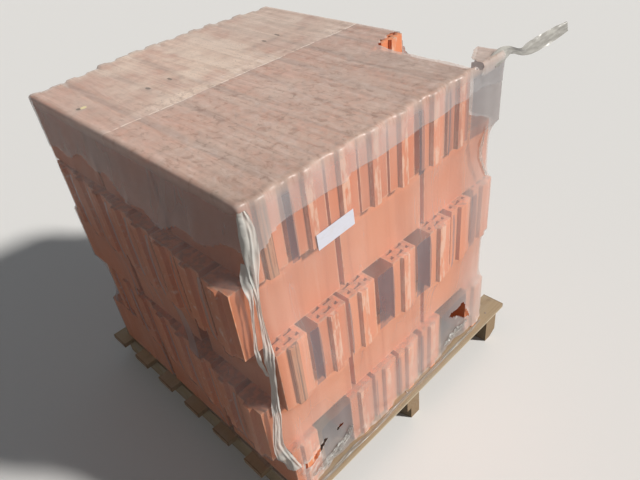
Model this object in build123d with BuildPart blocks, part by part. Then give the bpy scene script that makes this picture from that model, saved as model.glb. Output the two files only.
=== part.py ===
"""A pallet of perforated clay bricks under a thin film hood.

Five courses of bricks stand on a wooden pallet of three bearers and seven deck boards.
Odd courses have their bricks along Y, even courses have them along X.
Units are millimetres and +Z is up. The origin is on the floor under the pallet's middle.
-Y is the face with the brick ends, where the forks enter between the bearers.
"""
from build123d import *
import os

os.makedirs("parts", exist_ok=True)

# Deck boards, which run along X
BOARD_LENGTH = 1285.0
BOARD_WIDTH = 98.0
BOARD_THICKNESS = 22.0
BOARD_COUNT = 7
DECK_FRONT_MARGIN = 37.0
DECK_REAR_MARGIN = 60.0

# Bearers, which run along Y under the deck
BEARER_WIDTH = 75.0
BEARER_HEIGHT = 122.0
BEARER_SETBACK = 3.0
OUTER_BEARER_INSET = 50.0
MIDDLE_BEARER_SHIFT = -10.0
WANE_WIDTH = 24.0
WANE_HEIGHT = 40.0
SPLIT_WIDTH = 24.0
SPLIT_HEIGHT = 62.0
SPLIT_LENGTH = 110.0

# One brick: length without the tongue, width and height
BRICK_LENGTH = 373.0
BRICK_WIDTH = 115.0
BRICK_HEIGHT = 238.0
TONGUE_DEPTH = 12.0
TONGUE_BASE = 38.0
TONGUE_FRONT = 30.0
GROOVE_DEPTH = 14.0
GROOVE_MOUTH = 44.0
GROOVE_FLOOR = 36.0

# Perforation: columns across the brick, in turn a small hole, a slot and a small hole, or two slots
COLUMN_COUNT = 13
TONGUE_COLUMN_INSET = 21.5
GROOVE_COLUMN_INSET = 39.7
SLOT_LENGTH = 32.0
SLOT_THICKNESS = 13.0
SMALL_HOLE = 13.0
SMALL_HOLE_OFFSET = 37.0
PAIRED_SLOT_OFFSET = 23.0
END_HOLE_LENGTH = 24.0

# How the courses stand: the top course's middle is this far from the pallet's middle along X
STACK_SHIFT = -41.0
ODD_END_CLEARANCE = 17.0
EVEN_END_CLEARANCE = 9.0
EVEN_GAP = 25.0
BEHIND_GAP = 24.5
COURSE_COUNT = 5
ROW_COUNT = 8

# Odd courses: how far each course's front row, and the rows behind it, stand behind the top course's
TOP_COURSE_BACK = (0.0, 0.0)
THIRD_COURSE_BACK = (-25.0, 10.0)
FIRST_COURSE_BACK = (2.0, 2.0)
# Even courses: how far they stick out to the left, how far back they start, and how far each row is
# pushed to the right of the one before it
FOURTH_COURSE_LEFT = 65.0
FOURTH_COURSE_BACK = 27.0
FOURTH_COURSE_PUSH = 8.0
SECOND_COURSE_LEFT = 62.0
SECOND_COURSE_BACK = 28.0
SECOND_COURSE_PUSH = 10.5

# Gaps between neighbouring bricks of the front rows that the film shows, from the left
TOP_FRONT_GAPS = (37.0, 10.0, 8.0, 10.0, 37.0, 15.0)
THIRD_FRONT_GAPS = (44.0, 16.0, 89.0, 81.0, 29.0, 44.0)
FIRST_FRONT_GAPS = (162.0, 18.0, 19.0, 25.0, 182.0)
FIRST_COURSE_LEFT = 4.0

# How far single bricks are pushed back, from the left: the third course's front row, and the top
# course's middle and rear rows
THIRD_FRONT_PUSHES = (0.0, 0.0, 0.0, 0.0, 0.0, 16.0, 32.0)
TOP_MIDDLE_PUSHES = (-13.0, -8.0, 6.0, 11.0, 10.0, 11.0, 2.0, 0.0)
TOP_REAR_PUSHES = (-27.0, -17.0, 13.0, 23.0, 20.0, 23.0, 5.0, -14.0)
UNPUSHED = (0.0,) * ROW_COUNT

# Film hood and what is on it
FILM_THICKNESS = 2.0
FILM_CLEARANCE = 0.4
FILM_HEM_HEIGHT = 6.0
TEAR_FRONT_MARGIN = 10.0
TEAR_SIDE_START = 76.0
TEAR_SIDE_DEPTH = 105.0
TAIL_WIDTH = 46.0
TAIL_THICKNESS = 2.0
TAIL_DROP = 20.0
TAIL_DROOP_RADIUS = 260.0
TAIL_DROOP_ANGLE = 20.0
TAIL_RISE_RADIUS = 520.0
TAIL_RISE_ANGLE = 34.0
SEAT_GAP = 0.4
LABEL_LENGTH = 143.0
LABEL_HEIGHT = 52.0
LABEL_THICKNESS = 0.6
LABEL_LEFT = 207.0
LABEL_ABOVE_JOINT = 20.0
LABEL_TILT = 2.5
LABEL_CLEARANCE = 1.2

DECK_TOP = BEARER_HEIGHT + BOARD_THICKNESS
STACK_TOP = DECK_TOP + COURSE_COUNT * BRICK_HEIGHT


def course_floor(course):
    """Height of the underside of a course, where 1 is the lowest."""
    return DECK_TOP + (course - 1) * BRICK_HEIGHT


def row_start(row, clearance):
    """Distance from the first row's end faces to those of a later row, end to end."""
    return row * (BRICK_LENGTH + TONGUE_DEPTH + clearance)


# The top course's own size, and the corner of its first brick; the deck reaches past it
STACK_WIDTH = ROW_COUNT * BRICK_WIDTH + (ROW_COUNT - 1) * BEHIND_GAP
STACK_DEPTH = row_start(2, ODD_END_CLEARANCE) + BRICK_LENGTH
STACK_FRONT_X = STACK_SHIFT - STACK_WIDTH / 2
DECK_DEPTH = DECK_FRONT_MARGIN + STACK_DEPTH + DECK_REAR_MARGIN
STACK_FRONT_Y = -DECK_DEPTH / 2 + DECK_FRONT_MARGIN
BOARD_PITCH = (DECK_DEPTH - BOARD_WIDTH) / (BOARD_COUNT - 1)


def starts_from_gaps(first, gaps):
    """Near sides of bricks that stand side by side with these gaps."""
    starts = [first]
    for gap in gaps:
        starts.append(starts[-1] + BRICK_WIDTH + gap)
    return starts


def export_piece(builder, name):
    builder.part.label = name
    export_step(builder.part, f"parts/{name}.step")


# Section of a brick, length along X, tongue at +X and groove at -X
with BuildSketch() as plain_section:
    Rectangle(BRICK_LENGTH, BRICK_WIDTH)
    with Locations((BRICK_LENGTH / 2, 0)):
        Polygon(
            (0, -TONGUE_BASE / 2),
            (TONGUE_DEPTH, -TONGUE_FRONT / 2),
            (TONGUE_DEPTH, TONGUE_FRONT / 2),
            (0, TONGUE_BASE / 2),
            align=None,
        )
    with Locations((-BRICK_LENGTH / 2, 0)):
        Polygon(
            (0, -GROOVE_MOUTH / 2),
            (GROOVE_DEPTH, -GROOVE_FLOOR / 2),
            (GROOVE_DEPTH, GROOVE_FLOOR / 2),
            (0, GROOVE_MOUTH / 2),
            align=None,
            mode=Mode.SUBTRACT,
        )

last_column = BRICK_LENGTH / 2 - TONGUE_COLUMN_INSET
column_pitch = (BRICK_LENGTH - TONGUE_COLUMN_INSET - GROOVE_COLUMN_INSET) / (COLUMN_COUNT - 1)
column_places = [last_column - column * column_pitch for column in range(COLUMN_COUNT)]
single_slot_columns = column_places[0::2]
paired_slot_columns = column_places[1::2]
groove_column = column_places[-1]

# A brick that others hide on every side
with BuildSketch() as hidden_section:
    Rectangle(BRICK_LENGTH, BRICK_WIDTH)

with BuildSketch() as perforated_section:
    add(plain_section.sketch)
    with Locations(*[(x, 0) for x in single_slot_columns]):
        Rectangle(SLOT_THICKNESS, SLOT_LENGTH, mode=Mode.SUBTRACT)
    with Locations(*[(x, side * PAIRED_SLOT_OFFSET) for x in paired_slot_columns for side in (-1, 1)]):
        Rectangle(SLOT_THICKNESS, SLOT_LENGTH, mode=Mode.SUBTRACT)
    with Locations(*[(x, side * SMALL_HOLE_OFFSET) for x in single_slot_columns[:-1] for side in (-1, 1)]):
        Rectangle(SMALL_HOLE, SMALL_HOLE, mode=Mode.SUBTRACT)
    with Locations(*[(groove_column + SLOT_THICKNESS / 2, side * SMALL_HOLE_OFFSET) for side in (-1, 1)]):
        Rectangle(END_HOLE_LENGTH, SMALL_HOLE, align=(Align.MAX, Align.CENTER), mode=Mode.SUBTRACT)


def along_y(near_x, front_y):
    """Place of a brick that lies along Y, tongue to the front, by its front left corner."""
    return Location((near_x + BRICK_WIDTH / 2, front_y + BRICK_LENGTH / 2, 0), (0, 0, -90))


def along_x(left_x, front_y):
    """Place of a brick that lies along X, tongue to the left, by its front left corner."""
    return Location((left_x + BRICK_LENGTH / 2, front_y + BRICK_WIDTH / 2, 0), (0, 0, 180))


def row_along_y(starts, front_y, pushes):
    """Places of a row of bricks that lie along Y, from the left."""
    return [along_y(x, front_y + push) for x, push in zip(starts, pushes)]


def odd_course_places(left, back, front_gaps, pushes=(UNPUSHED, UNPUSHED, UNPUSHED)):
    """Front, middle and rear rows of a course with its bricks along Y, each from the left."""
    left_x = STACK_FRONT_X - left
    front_back, behind_back = back
    behind_y = STACK_FRONT_Y + behind_back
    starts = starts_from_gaps(left_x, front_gaps)
    starts_behind = starts_from_gaps(left_x, [BEHIND_GAP] * (ROW_COUNT - 1))
    front = row_along_y(starts, STACK_FRONT_Y + front_back, pushes[0])
    middle = row_along_y(starts_behind, behind_y + row_start(1, ODD_END_CLEARANCE), pushes[1])
    rear = row_along_y(starts_behind, behind_y + row_start(2, ODD_END_CLEARANCE), pushes[2])
    return front, middle, rear


def even_course_places(left, back, push):
    """Left, middle and right columns of a course with its bricks along X, each from the front."""
    left_x = STACK_FRONT_X - left
    front_y = STACK_FRONT_Y + back
    starts = starts_from_gaps(front_y, [EVEN_GAP] * (ROW_COUNT - 1))
    return [
        [
            along_x(left_x + row * push + row_start(column, EVEN_END_CLEARANCE), y)
            for row, y in enumerate(starts)
        ]
        for column in (0, 1, 2)
    ]


def make_course(course, *sections_and_places):
    """One course of bricks that stand clear of each other."""
    with BuildPart() as bricks:
        for section, places in sections_and_places:
            with BuildSketch(Plane.XY.offset(course_floor(course))):
                with Locations(*places):
                    add(section.sketch)
            extrude(amount=BRICK_HEIGHT)
    return bricks


def make_odd_course(course, front_section, left, back, front_gaps, front_pushes):
    """A course along Y, of which all but the ends of the middle row can be seen."""
    pushes = (front_pushes, UNPUSHED, UNPUSHED)
    front, middle, rear = odd_course_places(left, back, front_gaps, pushes)
    seen = [middle[0], middle[-1]] + rear
    return make_course(course, (front_section, front), (plain_section, seen), (hidden_section, middle[1:-1]))


def make_even_course(course, left, back, push):
    """A course along X, of which the middle column is hidden between its front and back bricks."""
    left_column, middle, right_column = even_course_places(left, back, push)
    seen = left_column + [middle[0], middle[-1]] + right_column
    return make_course(course, (plain_section, seen), (hidden_section, middle[1:-1]))


course_1 = make_odd_course(
    1, plain_section, FIRST_COURSE_LEFT, FIRST_COURSE_BACK, FIRST_FRONT_GAPS, UNPUSHED
)
course_2 = make_even_course(2, SECOND_COURSE_LEFT, SECOND_COURSE_BACK, SECOND_COURSE_PUSH)
course_3 = make_odd_course(
    3, perforated_section, 0, THIRD_COURSE_BACK, THIRD_FRONT_GAPS, THIRD_FRONT_PUSHES
)
course_4 = make_even_course(4, FOURTH_COURSE_LEFT, FOURTH_COURSE_BACK, FOURTH_COURSE_PUSH)

# The top course's front right brick is missing, so the end of the one behind it is open to view
top_pushes = (UNPUSHED, TOP_MIDDLE_PUSHES, TOP_REAR_PUSHES)
top_front, top_middle, top_rear = odd_course_places(0, TOP_COURSE_BACK, TOP_FRONT_GAPS, top_pushes)
exposed_brick = top_middle.pop()
course_5 = make_course(
    5, (perforated_section, top_front + [exposed_brick]), (plain_section, top_middle + top_rear)
)
courses = [course_1, course_2, course_3, course_4, course_5]


# Pallet
outer_bearer_x = BOARD_LENGTH / 2 - OUTER_BEARER_INSET - BEARER_WIDTH / 2
bearer_length = DECK_DEPTH - 2 * BEARER_SETBACK
bearer_front_y = -DECK_DEPTH / 2 + BEARER_SETBACK


def make_bearer(middle_x):
    """A sawn bearer along Y, standing on the floor."""
    with BuildPart() as bearer:
        with Locations((middle_x, bearer_front_y, 0)):
            Box(BEARER_WIDTH, bearer_length, BEARER_HEIGHT, align=(Align.CENTER, Align.MIN, Align.MIN))
    return bearer


bearer_left = make_bearer(-outer_bearer_x)

# A splinter has split off the middle bearer's front end, at its lower left edge
with BuildPart() as bearer_middle:
    add(make_bearer(MIDDLE_BEARER_SHIFT).part)
    with BuildSketch():
        with Locations((MIDDLE_BEARER_SHIFT - BEARER_WIDTH / 2, bearer_front_y)):
            Polygon((0, 0), (SPLIT_WIDTH, 0), (0, SPLIT_LENGTH), align=None)
    extrude(amount=SPLIT_HEIGHT, mode=Mode.SUBTRACT)

# The right bearer was sawn from the outside of the log, so its lower right edge is a wane
with BuildPart() as bearer_right:
    add(make_bearer(outer_bearer_x).part)
    wane_edge = bearer_right.edges().filter_by(Axis.Y).group_by(Axis.Z)[0].sort_by(Axis.X)[-1]
    chamfer(wane_edge, WANE_WIDTH, WANE_HEIGHT)

deck_boards = []
for board in range(BOARD_COUNT):
    board_y = -DECK_DEPTH / 2 + board * BOARD_PITCH
    with BuildPart() as deck_board:
        with Locations((0, board_y, BEARER_HEIGHT)):
            Box(BOARD_LENGTH, BOARD_WIDTH, BOARD_THICKNESS, align=(Align.CENTER, Align.MIN, Align.MIN))
    deck_boards.append(deck_board)


# Film hood: a thin wall round the courses, bridging from one that stands out to the next, whose sides
# run along the ends of the pushed rows
COURSE_SLOPES = {2: SECOND_COURSE_PUSH / (BRICK_WIDTH + EVEN_GAP), 4: FOURTH_COURSE_PUSH / (BRICK_WIDTH + EVEN_GAP)}


def course_side(course, side, y):
    """How far left (side -1) or right (side 1) a course's side line is at a distance back."""
    slope = COURSE_SLOPES.get(course, 0.0)
    boxes = [brick.bounding_box() for brick in courses[course - 1].solids()]
    if side < 0:
        return min(box.min.X - slope * box.max.Y for box in boxes) + slope * y
    return max(box.max.X - slope * box.min.Y for box in boxes) + slope * y


def film_ring(height, course_numbers, grow):
    """The hood's four corners at a height where it passes these courses, front left corner first."""
    boxes = [courses[number - 1].part.bounding_box() for number in course_numbers]
    front = min(box.min.Y for box in boxes) - FILM_CLEARANCE - grow
    back = max(box.max.Y for box in boxes) + FILM_CLEARANCE + grow
    ring = []
    for side, y in ((-1, front), (1, front), (1, back), (-1, back)):
        reach = max(side * course_side(number, side, y) for number in course_numbers)
        ring.append((side * (reach + FILM_CLEARANCE + grow), y, height))
    return ring


def film_rings(grow):
    """The hood's corners from its hem up to its top, all grown by a distance outwards."""
    rings = [film_ring(DECK_TOP + FILM_HEM_HEIGHT, (1,), grow)]
    for course in range(1, COURSE_COUNT):
        rings.append(film_ring(course_floor(course + 1), (course, course + 1), grow))
    rings.append(film_ring(STACK_TOP + FILM_CLEARANCE + grow, (COURSE_COUNT,), grow))
    return rings


def film_body(grow):
    """The space inside the hood's wall, grown by a distance outwards."""
    rings = film_rings(grow)
    outlines = [rings[0], rings[-1]]
    for low, high in zip(rings, rings[1:]):
        for corner in range(4):
            after = (corner + 1) % 4
            outlines.append([low[corner], low[after], high[after]])
            outlines.append([low[corner], high[after], high[corner]])
    return Solid(Shell([Face(Wire.make_polygon(outline, close=True)) for outline in outlines]))


film_inside = film_body(0)
film_outside = film_body(FILM_THICKNESS)
below_top_corner, top_corner = [ring[1] for ring in film_rings(FILM_THICKNESS)[-2:]]
film_right = top_corner[0]
film_front = top_corner[1]
film_top = STACK_TOP + FILM_CLEARANCE + FILM_THICKNESS
tear_left_x = STACK_FRONT_X + sum(TOP_FRONT_GAPS) + len(top_front) * BRICK_WIDTH + TEAR_FRONT_MARGIN
tear_back_y = STACK_FRONT_Y + row_start(1, ODD_END_CLEARANCE) - FILM_CLEARANCE

with BuildPart() as film_hood:
    add(film_outside)
    add(film_inside, mode=Mode.SUBTRACT)
    # The top is torn open over the empty place, and the right wall is torn down beside it
    with BuildSketch(Plane.XY.offset(film_top)):
        with Locations((tear_left_x, film_front + FILM_THICKNESS + TEAR_FRONT_MARGIN)):
            Rectangle(
                film_right - FILM_THICKNESS - TEAR_FRONT_MARGIN - tear_left_x,
                tear_back_y - film_front - FILM_THICKNESS - TEAR_FRONT_MARGIN,
                align=(Align.MIN, Align.MIN),
            )
    extrude(amount=-2 * FILM_THICKNESS, mode=Mode.SUBTRACT)
    with BuildSketch(Plane.XY.offset(film_top)):
        with Locations((film_right + BOARD_WIDTH, film_front + TEAR_SIDE_START)):
            Rectangle(
                film_right + BOARD_WIDTH - tear_left_x,
                tear_back_y - film_front - TEAR_SIDE_START,
                align=(Align.MAX, Align.MIN),
            )
    extrude(amount=-TEAR_SIDE_DEPTH, mode=Mode.SUBTRACT)

# The torn strip that stands out from the hood's front right corner, below whose top the wall leans out
wall_lean = (below_top_corner[0] - top_corner[0]) / (top_corner[2] - below_top_corner[2])
tail_start_x = film_right + wall_lean * (TAIL_DROP + TAIL_THICKNESS) + SEAT_GAP
tail_start = (tail_start_x, film_top - TAIL_DROP)
with BuildPart() as film_tail:
    with BuildSketch(Plane.XZ.offset(-film_front)):
        with BuildLine():
            droop = JernArc(tail_start, (1, 0), TAIL_DROOP_RADIUS, -TAIL_DROOP_ANGLE)
            JernArc(droop @ 1, droop % 1, TAIL_RISE_RADIUS, TAIL_RISE_ANGLE)
        trace(line_width=TAIL_THICKNESS)
    extrude(amount=-TAIL_WIDTH)

# Paper label on the hood's front face, low on the top course
label_y = film_front - LABEL_CLEARANCE
with BuildPart() as label:
    with BuildSketch(Plane.XZ.offset(-label_y)):
        with Locations(
            Location(
                (
                    STACK_FRONT_X + LABEL_LEFT + LABEL_LENGTH / 2,
                    course_floor(COURSE_COUNT) + LABEL_ABOVE_JOINT,
                ),
                LABEL_TILT,
            )
        ):
            Rectangle(LABEL_LENGTH, LABEL_HEIGHT)
    extrude(amount=LABEL_THICKNESS)

for number, bricks in enumerate(courses, start=1):
    export_piece(bricks, f"bricks_course_{number}")
for number, deck_board in enumerate(deck_boards, start=1):
    export_piece(deck_board, f"deck_board_{number}")
export_piece(bearer_left, "bearer_left")
export_piece(bearer_middle, "bearer_middle")
export_piece(bearer_right, "bearer_right")
export_piece(film_hood, "film_hood")
export_piece(film_tail, "film_tail")
export_piece(label, "label")
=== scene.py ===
"""A pallet of perforated clay bricks under a thin, milky, torn film hood.

The bricks, the boards, the bearers and the label come from the frame and get their finishes here. The
film hood is shaped here, drawn tight over the bricks, with the second film over its top, the gathered
corner, the torn corner with its strip, and the pallet's nails. Lengths are in metres.
"""
import math
import bmesh
import bpy
import numpy as np
from mathutils import Matrix, Vector, noise
from mathutils.bvhtree import BVHTree


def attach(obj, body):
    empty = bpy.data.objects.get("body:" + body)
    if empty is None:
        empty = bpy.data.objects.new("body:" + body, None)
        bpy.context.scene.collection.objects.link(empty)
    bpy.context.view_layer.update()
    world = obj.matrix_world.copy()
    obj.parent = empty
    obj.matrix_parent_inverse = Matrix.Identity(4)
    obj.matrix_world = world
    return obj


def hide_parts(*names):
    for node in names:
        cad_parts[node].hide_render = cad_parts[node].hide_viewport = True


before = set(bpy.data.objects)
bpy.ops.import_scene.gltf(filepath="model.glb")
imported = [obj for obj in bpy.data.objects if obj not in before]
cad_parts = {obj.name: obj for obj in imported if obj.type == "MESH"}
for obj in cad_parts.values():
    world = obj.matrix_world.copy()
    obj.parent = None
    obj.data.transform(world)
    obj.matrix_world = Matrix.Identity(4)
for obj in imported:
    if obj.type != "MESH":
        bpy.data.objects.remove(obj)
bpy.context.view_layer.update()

# The bricks' layout
BRICK_LENGTH = 0.373
BRICK_WIDTH = 0.115
BRICK_HEIGHT = 0.238
DECK_TOP = 0.144
STACK_TOP = DECK_TOP + 5 * BRICK_HEIGHT
STACK_LEFT = -0.58675
STACK_FRONT = -0.600
ODD_PITCH = 0.402
EVEN_PITCH = 0.394
BEHIND_PITCH = 0.1395
EVEN_ROW_PITCH = 0.140
FRONT_STARTS = {
    1: (-0.591, -0.314, -0.181, -0.047, 0.093, 0.390),
    3: (-0.587, -0.428, -0.297, -0.093, 0.103, 0.247, 0.406),
    5: (-0.587, -0.435, -0.310, -0.187, -0.062, 0.090, 0.220),
}
ODD_ROW_FRONTS = {1: (-0.598, -0.196), 3: (-0.625, -0.188), 5: (-0.600, -0.198)}
# The left end, the front and how far each row is pushed against the one before
EVEN_LAYOUT = {2: (-0.649, -0.572, 0.0105), 4: (-0.652, -0.573, 0.008)}
TONGUE_DEPTH = 0.012
# A brick's own place in the material begins this far before it, across the bricks and along them
BEFORE_SIDE, BEFORE_ODD_END, BEFORE_EVEN_END = 0.012, 0.014, 0.0155

# The pallet's layout, with how far along a board and a bearer the sides reach before the end grain
FIRST_BOARD, BOARD_PITCH = -0.588, 0.196
BEARERS_AT = (-0.555, -0.010, 0.555)
BOARD_SIDES_TO, BEARER_SIDES_TO = 0.637, 0.629

# Where the picture was taken from, for placing the film's folds by what the picture shows
CAMERA_AT = Vector((-1.1601, -1.5391, 2.0314))
CAMERA_TURN = Matrix(
    ((0.70180, 0.48707, -0.51985), (-0.70458, 0.36691, -0.60741), (-0.10511, 0.79256, 0.60067))
)
FOCUS = 578.51
PICTURE_MIDDLE = (320.0, 240.0)

# Dirt on the top film, and a dry leaf there: the middle, the half length, the half width and the colour
DIRT = (0.10, 0.065, 0.04)
LEAF = (0.80, 0.70, 0.34)
DIRT_MARKS = (
    (-0.320, 0.208, 0.016, 0.009, DIRT),
    (-0.232, 0.212, 0.018, 0.007, DIRT),
    (0.190, 0.207, 0.015, 0.008, DIRT),
    (0.262, 0.214, 0.017, 0.007, DIRT),
    (-0.542, 0.266, 0.012, 0.010, DIRT),
    (-0.527, 0.262, 0.011, 0.012, LEAF),
)


# Materials ------------------------------------------------------------------------------------------


class Wire:
    """A value that flows through a material, so that sums on it are written as sums."""

    def __init__(self, finish, socket):
        self.finish = finish
        self.socket = socket

    def math(self, operation, *others):
        return self.finish.add("ShaderNodeMath", {"operation": operation}, dict(enumerate((self, *others))))

    def __add__(self, other):
        return self.math("ADD", other)

    def __sub__(self, other):
        return self.math("SUBTRACT", other)

    def __mul__(self, other):
        return self.math("MULTIPLY", other)

    def __truediv__(self, other):
        return self.math("DIVIDE", other)

    def __radd__(self, other):
        return self + other

    def __rmul__(self, other):
        return self * other

    def __rsub__(self, other):
        return self * -1.0 + other

    def __rtruediv__(self, other):
        return self.math("POWER", -1.0) * other

    def over(self, edge):
        return self.math("GREATER_THAN", edge)

    def floor(self):
        return self.math("FLOOR")

    def size(self):
        return self.math("ABSOLUTE")

    def squared(self):
        return self.math("POWER", 2.0)

    def least(self, other):
        return self.math("MINIMUM", other)

    def most(self, other):
        return self.math("MAXIMUM", other)

    def step(self, low, high):
        """0 below low and 1 above high, smooth between them; falls when low is above high."""
        if low > high:
            return 1.0 - self.step(high, low)
        settings = {"interpolation_type": "SMOOTHSTEP"}
        inputs = {"Value": self, 1: low, 2: high, 3: 0.0, 4: 1.0}
        return self.finish.add("ShaderNodeMapRange", settings, inputs)


class Finish:
    """A material and the nodes that make it."""

    def __init__(self, name):
        self.material = bpy.data.materials.new(name)
        self.material.use_nodes = True
        self.tree = self.material.node_tree
        self.tree.nodes.clear()
        self.place = self.add("ShaderNodeTexCoord", output="Object")
        self.x = self.add("ShaderNodeSeparateXYZ", inputs={0: self.place}, output="X")
        self.y = self.add("ShaderNodeSeparateXYZ", inputs={0: self.place}, output="Y")
        self.z = self.add("ShaderNodeSeparateXYZ", inputs={0: self.place}, output="Z")

    def add(self, kind, settings=None, inputs=None, output=0):
        node = self.tree.nodes.new(kind)
        for name, value in (settings or {}).items():
            setattr(node, name, value)
        for name, value in (inputs or {}).items():
            if isinstance(value, Wire):
                self.tree.links.new(value.socket, node.inputs[name])
            else:
                node.inputs[name].default_value = value
        return Wire(self, node.outputs[output])

    def mix(self, factor, first, second):
        """Colours mixed by a factor."""
        inputs = {0: factor}
        for place, colour in ((6, first), (7, second)):
            inputs[place] = colour if isinstance(colour, Wire) else (*colour, 1.0)
        return self.add("ShaderNodeMix", {"data_type": "RGBA", "clamp_factor": True}, inputs, output=2)

    def scaled(self, scale):
        """The place, stretched so that a pattern gets longer where the scale is small."""
        return self.add("ShaderNodeMapping", inputs={0: self.place, "Scale": scale})

    def noise(self, vector, scale, detail=3.0, roughness=0.5, distortion=0.0):
        inputs = {"Vector": vector, "Scale": scale, "Detail": detail, "Roughness": roughness}
        inputs["Distortion"] = distortion
        return self.add("ShaderNodeTexNoise", inputs=inputs)

    def cells(self, vector, scale):
        return self.add("ShaderNodeTexVoronoi", inputs={"Vector": vector, "Scale": scale})

    def point(self, x, y, z):
        return self.add("ShaderNodeCombineXYZ", inputs={0: x, 1: y, 2: z})

    def chance(self, x, y, z):
        """A number from 0 to 1 of its own for each whole-numbered place."""
        inputs = {"Vector": self.point(x, y, z)}
        return self.add("ShaderNodeTexWhiteNoise", {"noise_dimensions": "3D"}, inputs)

    def bump(self, height, strength, distance):
        inputs = {"Height": height, "Strength": strength, "Distance": distance}
        return self.add("ShaderNodeBump", inputs=inputs, output="Normal")

    def attribute(self, name):
        return self.add("ShaderNodeAttribute", {"attribute_name": name}, output="Fac")

    def done(self, colour, roughness, normal, **others):
        inputs = {"Base Color": colour, "Roughness": roughness, "Normal": normal}
        inputs.update({name.replace("_", " "): value for name, value in others.items()})
        shader = self.add("ShaderNodeBsdfPrincipled", inputs=inputs)
        self.add_output(shader)
        return self.material

    def add_output(self, shader):
        node = self.tree.nodes.new("ShaderNodeOutputMaterial")
        self.tree.links.new(shader.socket, node.inputs["Surface"])


def stepped(wire, starts, gap):
    """Which of some irregular places a value is in, and the start of that place."""
    index, start = 0.0, starts[0]
    for before, after in zip(starts, starts[1:]):
        passed = wire.over((before + gap + after) / 2)
        index = passed + index
        start = passed * (after - before) + start
    return index, start


# The weld across the top film, how far back the lap behind it reaches, and the top's rim
WELD_AT, LAP_TO = 0.018, 0.078
RIM_LEFT, RIM_FRONT, RIM_BACK = -0.585, -0.600, 0.585

# The darkest and lightest brick of the lower courses, and those of the top one. The lower courses are painted
# lighter than the top one, as painted light that brightens them.
LOWER_SHADES_PAINTED_LIGHT = ((0.75, 0.25, 0.11), (0.85, 0.335, 0.165))
TOP_SHADES = ((0.70, 0.215, 0.088), (0.80, 0.285, 0.135))


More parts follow.
